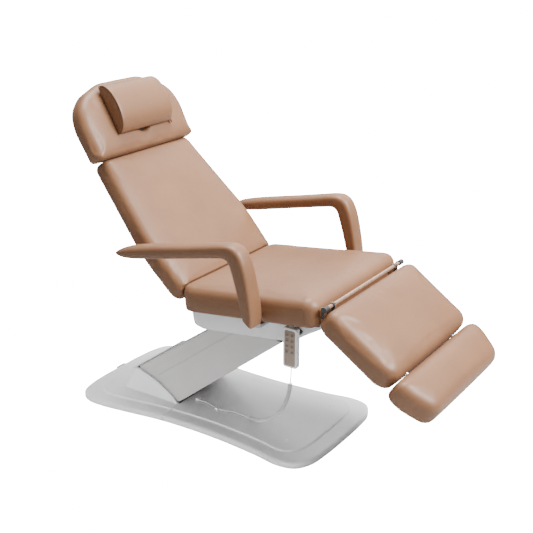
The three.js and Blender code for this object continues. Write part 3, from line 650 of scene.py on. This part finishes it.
ARM_HALF, ARM_MID = 0.0365, 0.363  # half width, and distance of the middle from the bed's axis


def run_lengths(line):
    """The length of a side line up to each of its points."""
    return np.array([length_of(spline([(x, 0, z) for x, z in line[:i + 1]], 60)) if i else 0.0
                     for i in range(len(line))])


def build_arm(name, side, body, node):
    """One bent pad: rounded squares swept between its two outlines, closed at both ends."""
    stations, sides, dense = 110, 40, 600
    top = spline([(x, 0.0, z) for x, z in ARM_TOP], stations)
    given, low_given = run_lengths(ARM_TOP), run_lengths(ARM_LOW)
    wide = np.interp(np.linspace(0, given[-1], stations), given, ARM_WIDE)
    low_dense = spline([(x, 0.0, z) for x, z in ARM_LOW], dense)
    at = (np.interp(np.linspace(0, given[-1], stations), given, low_given)
          / low_given[-1] * (dense - 1))
    low = np.stack([np.interp(at, np.arange(dense), low_dense[:, k]) for k in range(3)], 1)
    powers = np.interp(np.linspace(0, 1, stations), [0.0, 0.55, 0.72, 1.0], [2.6, 2.8, 3.8, 5.5])
    verts, faces = [], []
    y_mid = side * ARM_MID

    def section(i, scale, push):
        centre = (top[i] + low[i]) / 2 + push
        up = (top[i] - low[i]) / 2 * scale
        power = powers[i]
        for k in range(sides):
            a = math.tau * k / sides
            c, s = math.cos(a), math.sin(a)
            across = (math.copysign(abs(c) ** (2 / power), c) * ARM_HALF * wide[i]
                      * (1 - (1 - scale) * 0.7))
            height = math.copysign(abs(s) ** (2 / power), s)
            verts.append(centre + up * height + np.array((0.0, y_mid + across, 0.0)))

    tip = np.array((-0.0015, 0.0, 0.0))
    section(0, 0.5, tip)
    rows = 1
    for i in range(stations):
        section(i, 1.0, np.zeros(3))
        rows += 1
    out = np.array((-0.62, 0.0, -0.78))
    for scale, push in ((0.985, 0.0012), (0.90, 0.0024), (0.4, 0.0028)):
        section(stations - 1, scale, out * push)
        rows += 1
    for r in range(rows - 1):
        for k in range(sides):
            m = (k + 1) % sides
            faces.append((r * sides + k, r * sides + m, (r + 1) * sides + m, (r + 1) * sides + k))
    faces.append(tuple(range(sides))[::-1])
    faces.append(tuple((rows - 1) * sides + k for k in range(sides)))
    mesh = mesh_of(name, verts, faces)
    piece = link(name, mesh, VINYL)
    work = bmesh.new()
    work.from_mesh(mesh)
    bmesh.ops.recalc_face_normals(work, faces=work.faces)
    work.to_mesh(mesh)
    work.free()
    subdivide(piece)
    piece.data.shade_smooth()
    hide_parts(node)
    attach(piece, body)


build_arm("arm_pad_near", -1, "armrest_near", "arm_near")
build_arm("arm_pad_far", 1, "armrest_far", "arm_far")


# ------------------------------------------------------------------ base
BASE_HALF = [(0.555, 0), (0.552, 0.120), (0.541, 0.215), (0.505, 0.272), (0.440, 0.289),
             (0.330, 0.273), (0.160, 0.257), (0.010, 0.254), (-0.130, 0.261), (-0.270, 0.281),
             (-0.400, 0.298), (-0.470, 0.295), (-0.523, 0.264), (-0.547, 0.190), (-0.555, 0.090)]
PLATEAU_HALF = [(0.487, 0), (0.485, 0.110), (0.474, 0.180), (0.440, 0.222), (0.400, 0.229),
                (0.330, 0.216), (0.160, 0.199), (0.010, 0.196), (-0.130, 0.203), (-0.270, 0.222),
                (-0.390, 0.238), (-0.440, 0.230), (-0.470, 0.205), (-0.488, 0.150), (-0.494, 0.070)]


def plan_loop(half):
    """A smooth plan from the points of its +Y half."""
    points = [Vector((p[0], max(0.0, p[1]))) for p in spline([(x, y, 0) for x, y in half], 300)]
    return resample(points + [Vector((p.x, -p.y)) for p in reversed(points[1:])], 0.006)


def box_piece(x0, x1, y0, y1, z0, z1):
    """A plain box, to cut with or to build a small tab from."""
    loop = np.array([(x0, y0), (x1, y0), (x1, y1), (x0, y1)])
    verts = [(x, y, z0) for x, y in loop] + [(x, y, z1) for x, y in loop]
    faces = [(3, 2, 1, 0), (4, 5, 6, 7), (0, 1, 5, 4), (1, 2, 6, 5), (2, 3, 7, 6), (3, 0, 4, 7)]
    return link("cutter", mesh_of("cutter", verts, faces), DARK)


def arc(z0, z1, i0, i1, steps, swell):
    """Rings of a rounded shoulder from (i0, z0) to (i1, z1): swell 1 bulges out, -1 hollows in."""
    rings = []
    for k in range(1, steps + 1):
        a = math.pi / 2 * k / steps
        if swell > 0:
            rings.append((i0 + (i1 - i0) * (1 - math.cos(a)), z0 + (z1 - z0) * math.sin(a)))
        else:
            rings.append((i0 + (i1 - i0) * math.sin(a), z0 + (z1 - z0) * (1 - math.cos(a))))
    return rings


def upright(x0, half, radius, slope):
    """A tall block with rounded rear corners, its rear wall leaning forward by the slope."""
    outline = round_corners([(x0, -half, radius), (0.05, -half, 0), (0.05, half, 0),
                             (x0, half, radius)], 8)
    block = link("upright", ring_solid("upright", resample(outline, 0.003),
                                       [(0, -0.02), (0, 0.32)]), WHITE)
    co = coords_of(block.data)
    co[:, 0] += slope * (co[:, 2] - 0.030)
    set_coords(block.data, co)
    return block


def side_block(name, profile, half):
    """A side profile in X and Z run across the bed from -half to half."""
    loop = resample([Vector(p) for p in profile], 0.003)
    block = link(name, ring_solid(name, loop, [(0, -half), (0, half)]), WHITE_CAD)
    block.data.transform(STAND)
    return block


SEAM, SEAM_GAP = -0.113, 0.0012  # where the two covers meet, and half the gap between them
WELL_HALF = 0.1525  # half width of the opening for the arm's foot
DECK_RINGS = [(0.010, 0.0035), (0.0012, 0.0035), (0.0, 0.0047), (0.0, 0.020)]
DECK_RINGS += arc(0.020, 0.0285, 0.0, 0.011, 6, 1) + [(0.018, 0.0293), (0.030, 0.0297)]
PLATEAU_RINGS = [(-0.006, 0.0270), (-0.006, 0.0298)] + arc(0.0298, 0.0322, -0.006, -0.002, 3, -1)
PLATEAU_RINGS += arc(0.0322, 0.0358, -0.002, 0.003, 5, 1)
for label, lo, hi, node in (("rear", -0.7, SEAM - SEAM_GAP, "base_cover_rear"),
                            ("front", SEAM + SEAM_GAP, 0.7, "base_cover_front")):
    for layer, half, rings in (("deck", BASE_HALF, DECK_RINGS),
                               ("plateau", PLATEAU_HALF, PLATEAU_RINGS)):
        cover = link(f"base_{layer}_{label}", ring_solid(layer, plan_loop(half), rings), WHITE_CAD)
        boolean(cover, box_piece(lo, hi, -0.5, 0.5, -0.1, 0.3), "INTERSECT")
        if label == "rear":
            boolean(cover, box_piece(-0.382, SEAM + 0.01, -WELL_HALF, WELL_HALF, -0.1, 0.3))
            if layer == "deck":
                boolean(cover, box_piece(-0.60, -0.548, -0.024, 0.024, 0.008, 0.026))
        smooth(cover.data, 40)
        settle(cover, "base", node if layer == "deck" else None)

SHROUD_LEAN = 0.427  # forward lean of the shroud's rear wall
SHROUD_TOP = [(-0.410, 0.020), (-0.396, 0.030), (-0.361, 0.112), (-0.352, 0.128),
              (-0.342, 0.1365), (-0.331, 0.1395), (-0.316, 0.1388), (-0.300, 0.1362),
              (-0.266, 0.1255), (-0.219, 0.1070), (-0.173, 0.0820), (-0.140, 0.0600),
              (-0.1245, 0.0440), (-0.119, 0.036), (-0.1185, 0.020)]
SHROUD_IN = [(-0.420, 0.0), (-0.3565, 0.110), (-0.3475, 0.126), (-0.338, 0.1325), (-0.331, 0.1345),
             (-0.331, 0.300), (0.02, 0.300), (0.02, 0.0)]
shroud = boolean(side_block("base_shroud", SHROUD_TOP, 0.162),
                 upright(-0.396, 0.162, 0.020, SHROUD_LEAN), "INTERSECT")
hollow = boolean(side_block("hollow", SHROUD_IN, WELL_HALF),
                 upright(-0.3900, WELL_HALF, 0.0145, SHROUD_LEAN), "INTERSECT")
boolean(shroud, hollow)
smooth(shroud.data, 30)
settle(shroud, "base")


def plug(name, start, end, radius, material, body):
    """A short round piece with a softened rim."""
    a, b = Vector(start), Vector(end)
    steps = [0.0, 0.001, 0.999, 1.0]
    rim = [1 - 0.0008 / radius, 1.0, 1.0, 1 - 0.0008 / radius]
    piece = tube(name, [a.lerp(b, t) for t in steps], radius, 24, material, shrink=rim)
    smooth(piece.data, 40)
    settle(piece, body)


plug("base_edge_cap", (-0.128, -0.258, 0.0155), (-0.128, -0.2628, 0.0155), 0.0045,
     CAP, "base")
for y in (-1, 1):
    side = "near" if y < 0 else "far"
    plug(f"axle_collar_{side}", (0.620, y * 0.2640, 0.653), (0.620, y * 0.2885, 0.653), 0.0100,
         STEEL, "seat")
    tab = box_piece(0.6035, 0.6110, *sorted((y * 0.268, y * 0.276)), 0.616, 0.655)
    tab.name = f"axle_tab_{side}"
    tab.data.materials[0] = STEEL
    settle(tab, "seat")
plug("tray_knob", (0.503, -0.2405, 0.531), (0.503, -0.2560, 0.531), 0.0085,
     STEEL, "seat")


# ------------------------------------------------------------------ underbody
TRAY_OUT = [(0.014, -0.024, 0), (0.021, -0.094, 0.020), (0.062, -0.108, 0.030),
            (0.447, -0.108, 0.060), (0.505, -0.078, 0.045), (0.583, -0.042, 0.014),
            (0.590, -0.024, 0)]
TRAY_IN = [(0.019, 0.02, 0), (0.026, -0.091, 0.016), (0.064, -0.104, 0.026),
           (0.446, -0.104, 0.056), (0.502, -0.075, 0.040), (0.580, -0.038, 0.010),
           (0.584, 0.02, 0)]
# openings for the lift arm, the back motor, the leg motor, the front beam and the two seat rails
TRAY_CUTS = [(0.045, 0.382, -0.159, 0.159, -0.14, -0.06), (-0.02, 0.06, -0.190, -0.166, -0.10, 0.01),
             (0.470, 0.640, 0.158, 0.198, -0.13, 0.01),
             (0.500, 0.640, -0.2355, 0.2355, -0.048, 0.04),
             (-0.02, 0.06, 0.197, 0.215, -0.062, 0.01), (-0.02, 0.06, -0.215, -0.197, -0.062, 0.01)]


def build_underbody():
    """The moulded tray under the seat, hollow, with openings for what passes through it."""
    loop = resample(round_corners(TRAY_OUT, 8), 0.006)
    rings = edge_profile(-0.240, 0.240, 0.012, 0.012, 5)
    piece = link("underbody_shell", ring_solid("underbody_shell", loop, rings), WHITE)
    piece.data.transform(STAND)
    inside = resample(round_corners(TRAY_IN, 6), 0.008)
    cutter = link("cutter", ring_solid("cutter", inside, [(0, -0.236), (0, 0.236)]), WHITE)
    cutter.data.transform(STAND)
    boolean(piece, cutter)
    for box in TRAY_CUTS:
        boolean(piece, box_piece(*box))
    piece.data.transform(SEAT)
    smooth(piece.data, 40)
    settle(piece, "seat", "underbody")


build_underbody()


# ------------------------------------------------------------------ handset
HANDSET_AT = (0.479, -0.261, 0.474)
HANDSET_HALF = (0.029, 0.011, 0.075)  # half width, thickness and height
KEY_ROWS, KEY_STEP, KEY_COLUMN = 4, 0.021, 0.011


def box_outline(x0, z0, x1, z1, radius, steps):
    """A rectangle with rounded corners."""
    return round_corners([(x0, z0, radius), (x1, z0, radius), (x1, z1, radius), (x0, z1, radius)],
                         steps)


def build_handset():
    """The hand control: a case, a face plate and eight keys with plain marks."""
    half_w, half_t, half_h = HANDSET_HALF
    flip = Matrix.Translation(HANDSET_AT) @ STAND
    outline = box_outline(-half_w, -half_h, half_w, half_h, 0.010, 8)
    rings = edge_profile(-half_t, half_t, 0.005, 0.0035, 5)
    case = link("handset_shell", ring_solid("handset_shell", resample(outline, 0.002), rings), CAP)
    case.data.transform(flip)
    smooth(case.data, 40)
    settle(case, "handset", "handset_case")
    outline = box_outline(-0.0215, -0.067, 0.0215, 0.066, 0.006, 6)
    rings = edge_profile(half_t - 0.002, half_t + 0.0006, 0.0002, 0.0005, 2)
    plate = link("handset_faceplate",
                 ring_solid("handset_faceplate", resample(outline, 0.002), rings), PANEL)
    plate.data.transform(flip)
    smooth(plate.data, 40)
    settle(plate, "handset")
    rings = edge_profile(half_t - 0.001, half_t + 0.0014, 0.0002, 0.0006, 3)
    for row in range(KEY_ROWS):
        for column in range(2):
            number = row * 2 + column + 1
            sign = 1 if column else -1
            kx, kz = sign * KEY_COLUMN, 0.050 - row * KEY_STEP
            pad = box_outline(kx - 0.0072, kz - 0.0068, kx + 0.0072, kz + 0.0068, 0.0025, 5)
            key = link(f"key_cap_{number}", ring_solid("key", resample(pad, 0.0009), rings), KEY)
            key.data.transform(flip)
            smooth(key.data, 40)
            settle(key, f"key_{number}", f"key_{number}")
            shapes = [[(-0.0048, -0.0030), (0.0048, -0.0030), (0.0048, -0.0016), (-0.0048, -0.0016)],
                      [(-0.0046, -0.0008), (-0.0006, -0.0008), (-0.0006, 0.0008 + 0.0006 * row),
                       (-0.0046, 0.0008)],
                      [(0.0010, 0.0012), (0.0044, 0.0012), (0.0027, 0.0012 + sign * 0.0034)]]
            verts, faces = [], []
            for shape in shapes:
                first = len(verts)
                verts += [(kx + px, kz + pz, half_t + 0.00150) for px, pz in shape]
                faces.append(tuple(range(first, first + len(shape))))
            glyph = link(f"key_mark_{number}", mesh_of("mark", verts, faces), GLYPH)
            depth = glyph.modifiers.new("thick", "SOLIDIFY")
            depth.thickness = 0.0002
            apply(glyph)
            glyph.data.transform(flip)
            settle(glyph, f"key_{number}")


build_handset()

# ------------------------------------------------------------------ finishes of the frame parts
FINISH = {"steel": STEEL, "chrome": CHROME, "white": WHITE_CAD, "grey": GREY, "board": BOARD,
          "cord": CORD, "keypad": KEY, "vinyl": VINYL, "paint": PAINT}
SLOTS = {s["node"]: s["material_slot"] for s in frame["record"]["subparts"]}
for node, piece in NODES.items():
    piece.data.materials.clear()
    piece.data.materials.append(FINISH[SLOTS[node]])
for node in ("screw_cap_1", "screw_cap_2", "screw_cap_3", "screw_cap_4"):
    NODES[node].data.materials[0] = CAP
# the axle and the front beam get the chrome with a painted tan reflection
for node in ("legrest_axle", "front_beam"):
    NODES[node].data.materials[0] = TAN_REFLECTION_CHROME

# ------------------------------------------------------------------ stage and light
REACH = 40.0
floor_mesh = mesh_of("floor", [(-REACH, -REACH, -0.0004), (REACH, -REACH, -0.0004),
                               (REACH, REACH, -0.0004), (-REACH, REACH, -0.0004)], [(0, 1, 2, 3)])
floor_material, floor_tree, floor_bsdf, _ = shader("pale_floor", (FLOOR_TONE,) * 3, 0.9)
floor_bsdf.inputs["Emission Color"].default_value = (1.0, 1.0, 1.0, 1.0)
world = bpy.data.worlds.new("studio")
bpy.context.scene.world = world
world.use_nodes = True
sky = world.node_tree.nodes["Background"]
sky.inputs["Color"].default_value = (1.0, 1.0, 1.0, 1.0)
for stage_tree, strength, base_level in ((floor_tree, floor_bsdf.inputs["Emission Strength"], 0.0),
                                         (world.node_tree, sky.inputs["Strength"], SKY)):
    seen = stage_tree.nodes.new("ShaderNodeLightPath")
    glow = stage_tree.nodes.new("ShaderNodeMath")
    glow.operation = "MULTIPLY_ADD"
    glow.inputs[1].default_value = WHITE_OUT
    glow.inputs[2].default_value = base_level
    stage_tree.links.new(seen.outputs["Is Camera Ray"], glow.inputs[0])
    stage_tree.links.new(glow.outputs["Value"], strength)
link("floor", floor_mesh, floor_material)


def area_light(name, location, target, size, power, spread=180.0):
    """A soft oval lamp, unseen by the camera."""
    data = bpy.data.lights.new(name, "AREA")
    data.shape = "ELLIPSE"
    data.size, data.size_y = size
    data.energy = power
    data.spread = math.radians(spread)
    lamp = bpy.data.objects.new(name, data)
    bpy.context.collection.objects.link(lamp)
    lamp.visible_camera = False
    lamp.location = location
    lamp.rotation_euler = (Vector(target) - Vector(location)).to_track_quat("-Z", "Y").to_euler()


area_light("key", (3.4, 0.8, 3.6), (0.1, 0.0, 0.6), (2.4, 2.4), 480.0)
area_light("top", (-0.4, 0.6, 4.4), (0.1, 0.0, 0.5), (2.8, 2.8), 330.0)
area_light("far_side", (-0.8, 4.4, 3.4), (0.1, 0.0, 0.6), (6.0, 2.6), 125.0)
area_light("base_fill", (0.0, -2.8, 0.16), (0.0, 0.0, 0.07), (2.2, 0.20), 2.6, spread=22.0)

bpy.context.view_layer.update()
